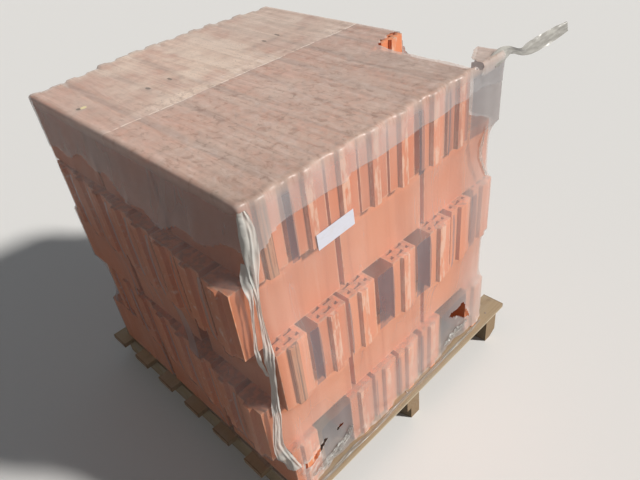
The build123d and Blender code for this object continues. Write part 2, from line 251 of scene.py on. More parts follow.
def clay_finish(course):
    """Fired clay, with each brick's own shade, its arrises rubbed and its sides combed by the die."""
    clay = Finish(f"clay_{course}")
    if course % 2:
        front, behind = ODD_ROW_FRONTS[course]
        past_front = clay.y.over((front + BRICK_LENGTH + behind - TONGUE_DEPTH) / 2)
        row = past_front + clay.y.over(behind + ODD_PITCH - BEFORE_ODD_END)
        is_front = 1.0 - row.most(0.0).least(1.0)
        front_index, front_start = stepped(clay.x, FRONT_STARTS[course], BRICK_WIDTH)
        behind_index = ((clay.x - (STACK_LEFT - BEFORE_SIDE)) / BEHIND_PITCH).floor()
        behind_start = behind_index * BEHIND_PITCH + STACK_LEFT
        index = front_index * is_front + behind_index * (1.0 - is_front)
        start = front_start * is_front + behind_start * (1.0 - is_front)
        across = clay.x - start
        set_back = clay.y.over(behind - BEFORE_ODD_END) * (behind - ODD_PITCH - front)
        along = clay.y - (row * ODD_PITCH + front + set_back)
    else:
        left, front, push = EVEN_LAYOUT[course]
        row = ((clay.y - (front - BEFORE_SIDE)) / EVEN_ROW_PITCH).floor()
        straight = clay.x - row * push
        second = straight.over(left + EVEN_PITCH - BEFORE_EVEN_END)
        index = second + straight.over(left + 2 * EVEN_PITCH - BEFORE_EVEN_END)
        across = clay.y - row * EVEN_ROW_PITCH - front
        along = straight - index * EVEN_PITCH - left
    height = clay.z - (DECK_TOP + (course - 1) * BRICK_HEIGHT)

    own = clay.chance(index, row, float(course))
    other = clay.chance(index, row, float(course) + 31.5)
    broad = clay.noise(clay.scaled((5.0, 5.0, 3.0)), 1.0, 3.0)
    mottle = clay.noise(clay.place, 42.0, 4.0, 0.6)
    combing = clay.noise(clay.scaled((150.0, 150.0, 3.0)), 1.0, 3.0, 0.6)
    bands = clay.noise(clay.scaled((26.0, 26.0, 0.8)), 1.0, 2.0)
    grit = clay.noise(clay.place, 420.0, 3.0, 0.7)

    from_side = across.least(BRICK_WIDTH - across).size()
    from_end = along.least(BRICK_LENGTH - along).size()
    from_bed = height.least(BRICK_HEIGHT - height).size()
    low_pair = from_side.least(from_end)
    high_pair = from_side.most(from_end)
    from_arris = low_pair.most(high_pair.least(from_bed))
    rubbed = (from_arris + mottle * 0.006).step(0.0085, 0.0035) * mottle.step(0.38, 0.56)
    chipped = (from_arris + mottle * 0.02).step(0.0125, 0.0095) * broad.step(0.5, 0.62)
    on_tongue = (across - BRICK_WIDTH / 2).size().step(0.0205, 0.017) * along.step(0.004, -0.002)
    if course % 2:
        scrapes = clay.noise(clay.scaled((60.0, 60.0, 14.0)), 1.0, 4.0, 0.6)
        scuffed = on_tongue * scrapes.step(0.42, 0.6)
    else:
        scuffed = on_tongue * mottle.step(0.55, 0.7)

    # The lower courses take the lighter clay, painted light
    dark_clay, light_clay = TOP_SHADES if course == 5 else LOWER_SHADES_PAINTED_LIGHT
    colour = clay.mix(own, dark_clay, light_clay)
    colour = clay.mix(other.step(0.72, 0.95) * 0.5, colour, (0.56, 0.18, 0.09))
    colour = clay.mix(broad.step(0.42, 0.7) * 0.4, colour, (0.84, 0.36, 0.20))
    colour = clay.mix(bands.step(0.52, 0.68) * 0.30, colour, (0.62, 0.18, 0.075))
    colour = clay.mix(bands.step(0.42, 0.30) * 0.26, colour, (0.84, 0.41, 0.25))
    colour = clay.mix(combing.step(0.56, 0.72) * 0.16, colour, (0.50, 0.15, 0.07))
    colour = clay.mix(grit.step(0.60, 0.74) * 0.3, colour, (0.42, 0.14, 0.07))
    colour = clay.mix(rubbed * 0.62, colour, (0.88, 0.55, 0.38))
    colour = clay.mix(chipped * 0.7, colour, (0.82, 0.29, 0.12))
    colour = clay.mix(scuffed * 0.75, colour, (0.86, 0.58, 0.43))
    # Dirt lies on the top beds
    on_bed = height.step(BRICK_HEIGHT - 0.003, BRICK_HEIGHT - 0.001) * mottle.step(0.40, 0.60)
    colour = clay.mix(on_bed * 0.55, colour, (0.34, 0.21, 0.15))
    if course == 5:
        # The last brick of the front row is stained dark
        stain = clay.x.over(0.206) * (1.0 - clay.x.over(0.350)) * (1.0 - clay.y.over(-0.216))
        colour = clay.mix(stain * bands.step(0.35, 0.6) * 0.75, colour, (0.30, 0.095, 0.06))
    if course in (3, 5):
        # The first brick's tongue is broken and brown
        broken = clay.x.step(-0.49, -0.50) * on_tongue
        colour = clay.mix(broken * 0.8, colour, (0.46, 0.19, 0.085))
        colour = clay.mix(broken * combing.step(0.46, 0.62) * 0.8, colour, (0.13, 0.07, 0.04))

    relief = combing * 0.35 + mottle * 0.3 + grit * 0.35 - chipped * 0.9 + scuffed * mottle * 0.8
    normal = clay.bump(relief, 0.55, 0.0022)
    return clay.done(colour, mottle * 0.12 + 0.82, normal)


def sawn_finish(name, along_x, warm, pale, end_shade):
    """Weathered softwood, its grain along the piece, with end grain, saw marks and dirt."""
    wood = Finish(name)
    long_scale = (1.6, 34.0, 34.0) if along_x else (34.0, 1.6, 34.0)
    fine_scale = (7.0, 260.0, 260.0) if along_x else (260.0, 7.0, 260.0)
    piece = (wood.y * (1.0 / BOARD_PITCH) + 30.25).floor() if along_x else (wood.x * 2.0 + 30.5).floor()
    shift = wood.chance(piece, 3.0, 7.0)
    grown = wood.noise(wood.scaled(long_scale), 1.0, 4.0, 0.55, 0.9)
    fibre = wood.noise(wood.scaled(fine_scale), 1.0, 4.0, 0.7)
    rings = (grown * 7.0 + shift * 5.0).math("SINE") * 0.5 + 0.5
    saw = wood.noise(wood.scaled((210.0, 6.0, 40.0) if along_x else (6.0, 210.0, 40.0)), 1.0, 2.0)
    broad = wood.noise(wood.place, 6.0, 3.0)
    dirt = wood.noise(wood.place, 17.0, 5.0, 0.65)
    knots = wood.cells(wood.scaled((3.0, 11.0, 11.0) if along_x else (11.0, 3.0, 11.0)), 1.0)
    knot = knots.step(0.16, 0.08)

    colour = wood.mix(rings * 0.75, pale, warm)
    colour = wood.mix(shift * 0.35, colour, (0.45, 0.36, 0.24))
    colour = wood.mix(fibre.step(0.5, 0.72) * 0.45, colour, (0.30, 0.21, 0.12))
    colour = wood.mix(broad.step(0.45, 0.7) * 0.4, colour, (0.42, 0.37, 0.30))
    colour = wood.mix(dirt.step(0.56, 0.72) * 0.5, colour, (0.20, 0.15, 0.10))
    colour = wood.mix(knot * 0.8, colour, (0.19, 0.105, 0.05))
    past_sides = wood.x.size() - BOARD_SIDES_TO if along_x else wood.y.size() - BEARER_SIDES_TO
    at_end = past_sides.step(0.0, 0.003)
    end_rings = (wood.noise(wood.place, 9.0, 1.0) * 90.0).math("SINE") * 0.5 + 0.5
    colour = wood.mix(at_end * (end_rings * 0.25 + 0.6), colour, end_shade)
    if along_x:
        # The front board's lower edge is frayed and pale
        frayed = wood.y.step(-0.6345, -0.6365) * (wood.z + fibre * 0.012).step(0.1365, 0.1305)
        colour = wood.mix(frayed * 0.8, colour, (0.66, 0.57, 0.43))
    relief = fibre * 0.55 + rings * 0.25 + saw * 0.25 - dirt.step(0.6, 0.75) * 0.2
    return wood.done(colour, fibre * 0.15 + 0.78, wood.bump(relief, 0.6, 0.003))


def film_finish(name, thin, gap_opacity, tint, gap_shade, folded, dusty=False, hazy=False):
    """Milky plastic film: clearer where it lies on the bricks, whiter in folds, dirty on top.

    The tint is what it shows on a brick. Where it stands off the bricks it is painted darker, and where it
    spans a gap it is more opaque and takes the gap shade, both painted shade; where it is folded it takes the
    folded colour.
    """
    film = Finish(name)
    free = film.attribute("free")
    fold = film.attribute("fold")
    top = film.attribute("top")
    drape = film.noise(film.scaled((16.0, 16.0, 1.3)), 1.0, 2.0, 0.5, 0.5)
    crinkle = film.noise(film.place, 34.0, 3.0, 0.5, 0.8)
    fog = film.noise(film.scaled((5.0, 5.0, 3.0)), 1.0, 2.0, 0.5)
    scratch = film.noise(film.scaled((90.0, 90.0, 14.0)), 1.0, 3.0, 0.6, 0.8)
    patch = film.noise(film.place, 7.0, 4.0, 0.6)
    lines = (drape - 0.5).size().step(0.012, 0.0)

    deep = free.step(1.02, 1.5)
    loose = free.least(1.0)
    # Over a gap the film is made more opaque, so that the painted gap shade shows
    alpha = (loose * 0.07 + deep * (gap_opacity - thin - 0.07)) * (1.0 - top) + thin
    walls = 1.0 - top * 0.8
    # The left wall, the side away from the lamp, which gets painted shade below
    shaded_left_wall = film.x.step(-0.560, -0.580) * walls
    if hazy or dusty:
        # Painted shade on the left wall, the side away from the lamp: the film is made more opaque there
        alpha = alpha + shaded_left_wall * 0.07
    alpha = alpha + ((fog - 0.5) * 0.30 + lines * fog.step(0.45, 0.65) * 0.06) * walls
    alpha = alpha + scratch.step(0.68, 0.74) * patch.step(0.5, 0.65) * 0.25 * walls
    alpha = alpha.most(fold * 0.85 + (crinkle - 0.5) * 0.25)
    if hazy:
        # More haze low down and towards the right
        haze = (film.z.step(0.62, 0.16) * 0.22 + film.x.step(0.20, 0.50) * 0.24) * walls * (1.0 - shaded_left_wall)
        alpha = alpha + haze * (1.0 - deep * 0.5)
    # Painted shade: the film is painted darker where it stands off the bricks
    colour = film.mix(loose * 0.75, tint, tuple(0.55 * part + 0.17 for part in tint))
    # Painted shade: over a gap the film takes the dark gap colour
    colour = film.mix(deep * (1.0 - top), colour, gap_shade)
    if hazy:
        colour = film.mix((haze * 2.4).least(1.0) * 0.7, colour, (0.62, 0.55, 0.51))
    if hazy or dusty:
        # Painted shade: the left wall is painted darker and browner
        colour = film.mix(shaded_left_wall * 0.8, colour, (0.40, 0.31, 0.29))
    colour = film.mix(fold.step(0.4, 1.0), colour, folded)
    relief = drape * 0.7 + crinkle * (fold * 0.5 + 0.12)
    if dusty:
        # Long streaks where water ran along the top, and the dust that it left
        streak = film.noise(film.scaled((30.0, 2.4, 5.0)), 1.0, 5.0, 0.65, 0.7)
        speck = film.noise(film.place, 130.0, 3.0, 0.65)
        dust = streak.step(0.34, 0.66) * 0.20 + patch.step(0.4, 0.7) * 0.12
        alpha = alpha + top * (dust + 0.16)
        colour = film.mix(top * 0.9, colour, (0.76, 0.56, 0.455))
        # Behind the weld it is paler and thicker, and towards the right it is darker
        behind = top * film.y.step(0.012, 0.024) * (film.x + patch * 0.3).step(-0.42, 0.0)
        alpha = alpha + behind * patch.step(0.25, 0.55) * 0.16
        colour = film.mix(behind * patch.step(0.25, 0.55) * 0.8, colour, (0.90, 0.71, 0.57))
        colour = film.mix(top * film.x.step(-0.10, 0.25) * 0.45, colour, (0.56, 0.43, 0.36))
        # Ripples pressed in by the bricks' holes: a bump, with painted highlight on the lighter parts and
        # painted shade on the darker ones, most of them in front of the weld
        ripple = film.noise(film.scaled((46.0, 30.0, 10.0)), 1.0, 4.0, 0.6, 0.6)
        rippled = top * (1.0 - film.y.step(0.0, 0.20) * 0.7)
        colour = film.mix(rippled * ripple.step(0.52, 0.68) * 0.55, colour, (0.88, 0.73, 0.66))
        colour = film.mix(rippled * ripple.step(0.47, 0.34) * 0.60, colour, (0.42, 0.29, 0.23))
        relief = relief + rippled * ripple * 0.5
        # The weld runs across the top, broken in places, with the lap of the two sheets behind it
        weld = (film.y - WELD_AT + (patch - 0.5) * 0.02).size()
        worn = crinkle.step(0.36, 0.54)
        lap = film.y.over(WELD_AT) * film.y.step(LAP_TO, LAP_TO - 0.008)
        alpha = alpha + top * (weld.step(0.005, 0.0015) * worn * 0.4 + lap * 0.08)
        colour = film.mix(top * weld.step(0.004, 0.001) * worn * 0.6, colour, (0.86, 0.78, 0.70))
        colour = film.mix(top * streak.step(0.55, 0.8) * 0.5, colour, (0.40, 0.30, 0.24))
        # Dirt gathers in specks and along the rim, most of all at the front left corner
        from_left, from_front = film.x - RIM_LEFT, film.y - RIM_FRONT
        from_corner = (from_left.squared() + from_front.squared()).math("SQRT")
        from_rim = from_left.least(from_front).least(RIM_BACK - film.y).size()
        rim = (from_rim + patch * 0.05).step(0.044, 0.022) * 0.4 + from_corner.step(0.26, 0.04) * 0.35
        colour = film.mix(top * rim * patch.step(0.25, 0.6), colour, (0.24, 0.165, 0.12))
        grime = top * speck.step(0.58, 0.68) * (patch.step(0.42, 0.6) + ripple.step(0.45, 0.30)).least(1.0)
        colour = film.mix(grime * 0.8, colour, (0.20, 0.14, 0.10))
        alpha = alpha + grime * 0.35 + top * rim * 0.12
        for x, y, long, wide, shade in DIRT_MARKS:
            off = ((film.x - x) * (1.0 / wide)).squared() + ((film.y - y) * (1.0 / long)).squared()
            mark = top * (off + (speck - 0.5) * 1.6).step(1.0, 0.5)
            colour = film.mix(mark * 0.9, colour, shade)
            alpha = alpha + mark * 0.7
    normal = film.bump(relief, 0.45, 0.005)
    alpha = alpha.most(0.05).least(0.97)
    return film.done(colour, fog * 0.16 + 0.26, normal, Alpha=alpha, Specular_IOR_Level=0.45)


def paper_finish():
    """The blank paper label, a little creased and damp-stained."""
    paper = Finish("label_paper")
    fibres = paper.noise(paper.place, 900.0, 2.0, 0.6)
    crease = (paper.noise(paper.scaled((9.0, 9.0, 26.0)), 1.0, 3.0, 0.5, 0.5) - 0.5).size().step(0.02, 0.0)
    stain = paper.noise(paper.place, 26.0, 3.0)
    colour = paper.mix(stain.step(0.5, 0.75) * 0.35, (0.72, 0.73, 0.82), (0.66, 0.64, 0.66))
    # Painted shade along the creases
    colour = paper.mix(crease * 0.3, colour, (0.62, 0.62, 0.64))
    return paper.done(colour, 0.7, paper.bump(fibres * 0.3 - crease * 0.5, 0.4, 0.0006))


def nail_finish():
    """Steel nail heads, rusted in spots."""
    steel = Finish("nail_steel")
    rust = steel.noise(steel.place, 700.0, 3.0).step(0.42, 0.6)
    colour = steel.mix(rust, (0.42, 0.41, 0.40), (0.25, 0.11, 0.05))
    return steel.done(colour, rust * 0.4 + 0.4, steel.bump(rust, 0.4, 0.0003), Metallic=1.0 - rust)


CLAY = {course: clay_finish(course) for course in (1, 2, 3, 4, 5)}
DECK_WOOD = sawn_finish(
    "deck_wood", True, warm=(0.30, 0.205, 0.12), pale=(0.42, 0.32, 0.205), end_shade=(0.17, 0.10, 0.055))
BEARER_WOOD = sawn_finish(
    "bearer_wood", False, warm=(0.30, 0.205, 0.12), pale=(0.40, 0.31, 0.195), end_shade=(0.26, 0.17, 0.095))
HOOD_FILM = film_finish(
    "hood_film", 0.19, 0.54, tint=(0.90, 0.76, 0.70), gap_shade=(0.265, 0.26, 0.28), folded=(0.70, 0.70, 0.66),
    hazy=True)
COVER_FILM = film_finish(
    "cover_film", 0.29, 0.37, tint=(0.86, 0.83, 0.82), gap_shade=(0.56, 0.55, 0.56), folded=(0.76, 0.77, 0.74),
    dusty=True)
FOLDED_FILM = film_finish(
    "folded_film", 0.70, 0.88, tint=(0.74, 0.74, 0.69), gap_shade=(0.76, 0.76, 0.72), folded=(0.84, 0.85, 0.81))
WORN_FILM = film_finish(
    "worn_film", 0.28, 0.40, tint=(0.42, 0.41, 0.385), gap_shade=(0.46, 0.46, 0.44), folded=(0.58, 0.58, 0.55))
# The torn strip's dark grey is dust and painted shade, as the strip turns away from the lamp
TAIL_FILM_DUSTY_SHADED = film_finish(
    "tail_film_dusty_shaded", 0.84, 0.92, tint=(0.29, 0.275, 0.24), gap_shade=(0.34, 0.325, 0.29), folded=(0.44, 0.43, 0.39))
PAPER = paper_finish()
NAIL_STEEL = nail_finish()


def dress(node, finish):
    """Give a piece from the frame its finish."""
    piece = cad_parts[node]
    if not piece.material_slots:
        piece.data.materials.append(finish)
    for material_slot in piece.material_slots:
        material_slot.material = finish


for number, finish in CLAY.items():
    dress(f"bricks_course_{number}", finish)
for number in range(1, 8):
    dress(f"deck_board_{number}", DECK_WOOD)
for side in ("left", "middle", "right"):
    dress(f"bearer_{side}", BEARER_WOOD)
dress("label", PAPER)


# The film hood --------------------------------------------------------------------------------------

HOOD_LEFT, HOOD_RIGHT = -0.600, 0.516
HOOD_FRONT, HOOD_BACK = -0.618, 0.606
HOOD_TOP = STACK_TOP + 0.004
HEM = DECK_TOP + 0.010
# The top's edges where the film is laid flat to place its tears: left, right, front and back
FLAT_EDGES = (STACK_LEFT, 0.505, STACK_FRONT - 0.012, 0.590)
CORE_INSET = 0.070
SPACING = 0.0098
# The place of the missing brick, as the film remembers it, and where the film hangs free round it
MISSING_LOW, MISSING_HIGH = (0.392, -0.611, 1.098), (0.505, -0.225, STACK_TOP)
FREE_FROM_X, FREE_TO_Y, FREE_FROM_Z = 0.345, -0.215, 1.10
# How the film is drawn tight: rays start this far out and go this deep, it stays clear of what they meet,
# and it is loosened and then shrunk in so many steps, by a pull of its own on the top and on the walls
CAST_FROM, CAST_DEPTH = 0.6, 0.85
CLEARANCE = 0.0022
NOT_MET = -0.25
LOOSENING_STEPS, SHRINKING_STEPS = 16, 700
TOP_PULL, WALL_PULL = 0.00012, 0.00004
# Heights of the folds: long ones down the walls, those across them, small ones, and those of the top
LONG_FOLD, CROSS_FOLD, SMALL_FOLD, TOP_FOLD = 0.0045, 0.0022, 0.0003, 0.0014
HEM_FOLD, SMALL_HEM_FOLD, SMALL_TOP_FOLD, WEAR_FOLD = 0.0070, 0.0030, 0.0005, 0.0040
# The hem is crumpled more and more from this height down
HEM_FROM, HEM_FADE = 0.26, 0.09
# Where the film wore through on the front wall: x, z and how far the wear reaches
WEAR_PLACES = ((-0.520, 0.275, 0.085), (0.335, 0.270, 0.070))
# How far the second film lies above the first
COVER_GAP = 0.0020


def brick_tree():
    """All that the film can touch, for finding how far in it can go."""
    points, faces = [], []
    names = [f"bricks_course_{course}" for course in CLAY] + [f"deck_board_{board}" for board in range(1, 8)]
    # The film keeps the shape that the missing brick gave it
    block = bmesh.new()
    bmesh.ops.create_cube(block, size=1.0)
    low, high = Vector(MISSING_LOW), Vector(MISSING_HIGH)
    bmesh.ops.scale(block, vec=high - low, verts=block.verts)
    bmesh.ops.translate(block, vec=(low + high) / 2, verts=block.verts)
    block.verts.index_update()
    points += [vertex.co.copy() for vertex in block.verts]
    faces += [[vertex.index for vertex in face.verts] for face in block.faces]
    block.free()
    for name in names:
        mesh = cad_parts[name].data
        first = len(points)
        points += [vertex.co.copy() for vertex in mesh.vertices]
        faces += [[first + index for index in face.vertices] for face in mesh.polygons]
    return BVHTree.FromPolygons(points, faces)


def piece_from(shape, name, finish):
    """A piece from a finished shape, riding with the pallet."""
    mesh = bpy.data.meshes.new(name)
    shape.to_mesh(mesh)
    shape.free()
    for face in mesh.polygons:
        face.use_smooth = True
    piece = bpy.data.objects.new(name, mesh)
    bpy.context.scene.collection.objects.link(piece)
    mesh.materials.append(finish)
    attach(piece, "root")
    return piece


def hood_blank():
    """An open box of small squares: the top, with the walls drawn down from its rim."""
    shape = bmesh.new()
    across = round((HOOD_RIGHT - HOOD_LEFT) / SPACING)
    deep = round((HOOD_BACK - HOOD_FRONT) / SPACING)
    down = round((HOOD_TOP - HEM) / SPACING)
    bmesh.ops.create_grid(shape, x_segments=across, y_segments=deep, size=0.5)
    bmesh.ops.scale(shape, vec=(HOOD_RIGHT - HOOD_LEFT, HOOD_BACK - HOOD_FRONT, 1.0), verts=shape.verts)
    middle = ((HOOD_LEFT + HOOD_RIGHT) / 2, (HOOD_FRONT + HOOD_BACK) / 2, HOOD_TOP)
    bmesh.ops.translate(shape, vec=middle, verts=shape.verts)
    rim = [edge for edge in shape.edges if edge.is_boundary]
    for _ in range(down):
        drawn = bmesh.ops.extrude_edge_only(shape, edges=rim)["geom"]
        points = [part for part in drawn if isinstance(part, bmesh.types.BMVert)]
        bmesh.ops.translate(shape, vec=(0.0, 0.0, (HEM - HOOD_TOP) / down), verts=points)
        rim = [part for part in drawn if isinstance(part, bmesh.types.BMEdge) and part.is_boundary]
    bmesh.ops.recalc_face_normals(shape, faces=shape.faces)
    return shape


def draw_tight(shape, tree):
    """Pull the film in until it lies on the bricks, and bridge from one to the next.

    Gives the points, the direction in which each moves, and how far each is from what is behind it.
    """
    shape.verts.index_update()
    start = np.array([vertex.co for vertex in shape.verts])
    near = np.tile(np.arange(len(start))[:, None], (1, 4))
    for vertex in shape.verts:
        for place, edge in enumerate(vertex.link_edges[:4]):
            near[vertex.index, place] = edge.other_vert(vertex).index
    counted = (near != np.arange(len(start))[:, None]).sum(axis=1)

    low = np.array([HOOD_LEFT + CORE_INSET, HOOD_FRONT + CORE_INSET, -1.0])
    high = np.array([HOOD_RIGHT - CORE_INSET, HOOD_BACK - CORE_INSET, HOOD_TOP - CORE_INSET])
    core = np.clip(start, low, high)
    outward = start - core
    outward /= np.linalg.norm(outward, axis=1)[:, None]

    reach = np.full(len(start), NOT_MET)
    upright = np.array([0.0, 0.0, 1.0])
    for index in range(len(start)):
        away = outward[index]
        side = np.cross(away, upright) if abs(away[2]) < 0.9 else np.array([1.0, 0.0, 0.0])
        side /= np.linalg.norm(side)
        rise = np.cross(side, away)
        for shift in ((0, 0), (1, 1), (-1, 1), (1, -1), (-1, -1)):
            origin = core[index] + away * CAST_FROM + (side * shift[0] + rise * shift[1]) * SPACING * 0.42
            found = tree.ray_cast(Vector(origin), Vector(-away), CAST_DEPTH)
            if found[0] is not None:
                reach[index] = max(reach[index], CAST_FROM - found[3])

    # From a loose cover over the nearest bricks, it shrinks until it is tight
    least = reach + CLEARANCE
    out = least.copy()
    for _ in range(LOOSENING_STEPS):
        out = np.maximum(out, out[near].max(axis=1))
    pull = np.where(outward[:, 2] > 0.7, TOP_PULL, WALL_PULL)
    first, second, third, fourth = near.T.copy()
    missing = (4 - counted)[:, None]
    for _ in range(SHRINKING_STEPS):
        points = core + outward * out[:, None]
        total = points[first] + points[second] + points[third] + points[fourth] - points * missing
        mean = total / counted[:, None]
        wanted = ((mean - core) * outward).sum(axis=1) - pull
        out = np.maximum(out * 0.15 + wanted * 0.85, least)
    return core, outward, out, reach


def soft_noise(points, scale, seed):
    """Smooth noise at each point, from about -1 to 1."""
    stretch = Vector(scale)
    shift = Vector((seed * 7.31, seed * 3.17, seed * 5.71))
    return np.array([noise.noise(Vector(point) * stretch + shift) for point in points])


def polygon_distance(places, corners):
    """How far each flat place is from a polygon's edge: below zero inside it, with the way there."""
    best = np.full(len(places), 9.0)
    nearest = np.zeros_like(places)
    inside = np.zeros(len(places), dtype=bool)
    for first, last in zip(corners, corners[1:] + corners[:1]):
        a, b = np.array(first), np.array(last)
        run = b - a
        share = np.clip(((places - a) @ run) / (run @ run), 0.0, 1.0)
        foot = a + share[:, None] * run
        gap = np.linalg.norm(places - foot, axis=1)
        closer = gap < best
        best[closer] = gap[closer]
        nearest[closer] = foot[closer]
        crosses = (a[1] > places[:, 1]) != (b[1] > places[:, 1])
        with np.errstate(divide="ignore", invalid="ignore"):
            at = a[0] + (places[:, 1] - a[1]) * run[0] / run[1]
        inside ^= crosses & (places[:, 0] < at)
    return np.where(inside, -best, best), nearest


def unfold(points):
    """The film laid flat round its top: a wall's height becomes distance past the top's edge."""
    left, right, front, back = FLAT_EDGES
    flat = points[:, :2].copy()
    down = np.clip(STACK_TOP - points[:, 2], 0.0, None)
    wall = down > 0.004
    sides = np.stack([points[:, 0] - left, right - points[:, 0], points[:, 1] - front, back - points[:, 1]])
    which = np.argmin(np.where(sides < 0.0, 0.0, sides) - np.where(sides < 0.0, -sides, 0.0), axis=0)
    flat[:, 0] = np.where(wall & (which == 0), left - down, flat[:, 0])
    flat[:, 0] = np.where(wall & (which == 1), right + down, flat[:, 0])
    flat[:, 1] = np.where(wall & (which == 2), front - down, flat[:, 1])
    flat[:, 1] = np.where(wall & (which == 3), back + down, flat[:, 1])
    return flat, np.where(wall, which, 4)


def tears_in(points, tears):
    """How far each point of the film is from the torn places, and the way from it to their edges."""
    flat, wall = unfold(points)
    distance = np.full(len(points), 9.0)
    foot = flat.copy()
    for tear in tears:
        gap, nearest = polygon_distance(flat, tear)
        closer = gap < distance
        distance[closer] = gap[closer]
        foot[closer] = nearest[closer]
    step = foot - flat
    moves = np.zeros_like(points)
    moves[:, 0] = np.where(wall != 1, step[:, 0], 0.0)
    moves[:, 1] = np.where(wall != 2, step[:, 1], 0.0)
    moves[:, 2] = np.where(wall == 1, -step[:, 0], np.where(wall == 2, step[:, 1], 0.0))
    return distance, moves


def set_points(shape, points, free, fold, top):
    """Move a film's points, and keep how free, how folded and how far on top each is for its material."""
    layers = [shape.verts.layers.float.new(name) for name in ("free", "fold", "top")]
    for vertex, point, *values in zip(shape.verts, points, free, fold, top):
        vertex.co = point
        for layer, value in zip(layers, values):
            vertex[layer] = value


def whiten_rim(shape, distance):
    """Stretched film turns white along a tear."""
    fold_layer = shape.verts.layers.float["fold"]
    for vertex, gap in zip(shape.verts, distance):
        vertex[fold_layer] = max(vertex[fold_layer], 0.75 * max(0.0, 1.0 - abs(gap) / 0.011))


def cut_out(shape, distance, moves):
    """Cut the film where the distance is below zero, with the points beside the cut moved onto it."""
    shape.verts.index_update()
    shape.verts.ensure_lookup_table()
    beside = set()
    for edge in shape.edges:
        first, last = (vertex.index for vertex in edge.verts)
        if (distance[first] < 0) != (distance[last] < 0):
            beside.add(first if abs(distance[first]) < abs(distance[last]) else last)
    for index in beside:
        shape.verts[index].co += Vector(moves[index])
        distance[index] = 0.0
    gone = [face for face in shape.faces if sum(distance[vertex.index] for vertex in face.verts) < 0]
    bmesh.ops.delete(shape, geom=gone, context="FACES")


tree = brick_tree()
hood = hood_blank()
core, outward, out, reach = draw_tight(hood, tree)
points = core + outward * out[:, None]
hangs_free = (points[:, 0] > FREE_FROM_X) & (points[:, 1] < FREE_TO_Y) & (points[:, 2] > FREE_FROM_Z)
off_brick = out - reach
slack = np.clip((off_brick - 0.004) / 0.022, 0.0, 1.0) + 0.8 * np.clip((off_brick - 0.06) / 0.12, 0.0, 1.0)
slack = np.where(hangs_free & (outward[:, 2] < 0.5), 1.9, slack)
on_top = np.clip((outward[:, 2] - 0.5) / 0.3, 0.0, 1.0)
on_wall = 1.0 - on_top

# Loose folds, most of all where the film bridges
down_folds = soft_noise(points, (21.0, 21.0, 1.6), 1.0)
cross_folds = soft_noise(points, (9.0, 9.0, 16.0), 2.0)
small_folds = soft_noise(points, (70.0, 70.0, 34.0), 3.0)
top_folds = soft_noise(points, (36.0, 5.0, 1.0), 4.0)
hem_folds = soft_noise(points, (26.0, 26.0, 20.0), 5.0)
swell = (down_folds * LONG_FOLD + cross_folds * CROSS_FOLD + small_folds * SMALL_FOLD) * on_wall
swell += on_top * (top_folds * TOP_FOLD + small_folds * SMALL_TOP_FOLD)
swell *= 0.22 + 0.78 * np.minimum(slack, 1.0)
at_hem = np.clip((HEM_FROM - points[:, 2]) / HEM_FADE, 0.0, 1.0)
swell += at_hem * on_wall * (small_folds * SMALL_HEM_FOLD + hem_folds * HEM_FOLD)
# The film is crumpled round the places where it wore through
wear = np.zeros(len(points))
for x, z, spread in WEAR_PLACES:
    wear = np.maximum(wear, np.exp(-((points[:, 0] - x) ** 2 + (points[:, 2] - z) ** 2) / spread ** 2))
wear *= points[:, 1] < -0.45
swell += wear * np.abs(small_folds) * WEAR_FOLD
out = np.maximum(out + swell + 0.0012, reach + 0.0018)
points = core + outward * out[:, None]

# Near the hem and round the worn places the film is whiter where its small folds bulge out: crumpled film's
# own whiteness and a painted highlight on the bulges
whitened_and_highlit = at_hem * on_wall * np.clip(0.9 * small_folds + 0.05, 0.0, 0.6)
whitened_and_highlit = np.maximum(whitened_and_highlit, wear * np.clip(0.46 + 1.3 * small_folds, 0.0, 0.85))
set_points(hood, points, slack, whitened_and_highlit, on_top)

# Where the film is torn, as outlines on the film laid flat. The first is the torn corner.
HOLE = [
    (0.360, -0.611), (0.346, -0.590), (0.343, -0.560), (0.349, -0.505), (0.340, -0.440), (0.347, -0.370),
    (0.341, -0.300), (0.352, -0.250), (0.366, -0.205), (0.384, -0.196), (0.402, -0.178), (0.428, -0.188),
    (0.452, -0.166), (0.490, -0.176), (0.530, -0.190), (0.575, -0.215), (0.610, -0.300), (0.622, -0.400),
    (0.598, -0.470), (0.550, -0.505), (0.505, -0.512), (0.450, -0.532), (0.402, -0.556), (0.388, -0.590),
    (0.386, -0.614), (0.379, -0.640), (0.371, -0.616),
]
# Places low on the front wall where the bricks' corners wore through; a height z is z - 1.946 there
RIGHT_HOLE = [
    (0.268, -1.626), (0.285, -1.608), (0.324, -1.620), (0.348, -1.613), (0.366, -1.600), (0.378, -1.640),
    (0.404, -1.690), (0.406, -1.712), (0.376, -1.702), (0.334, -1.660), (0.295, -1.640),
]
LEFT_HOLES = [
    [(-0.492, -1.652), (-0.470, -1.634), (-0.452, -1.628), (-0.440, -1.640), (-0.462, -1.652),
     (-0.480, -1.668)],
    [(-0.402, -1.640), (-0.380, -1.628), (-0.362, -1.634), (-0.374, -1.648), (-0.394, -1.652)],
    [(-0.476, -1.642), (-0.500, -1.650), (-0.520, -1.652), (-0.554, -1.657), (-0.562, -1.676),
     (-0.536, -1.688), (-0.508, -1.682), (-0.488, -1.670), (-0.472, -1.660)],
]
distance, moves = tears_in(points, [HOLE, RIGHT_HOLE] + LEFT_HOLES)
whiten_rim(hood, distance)
cut_out(hood, distance, moves)
film_surface = BVHTree.FromBMesh(hood)
film_hood = piece_from(hood, "film_over_stack", HOOD_FILM)
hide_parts("film_hood")

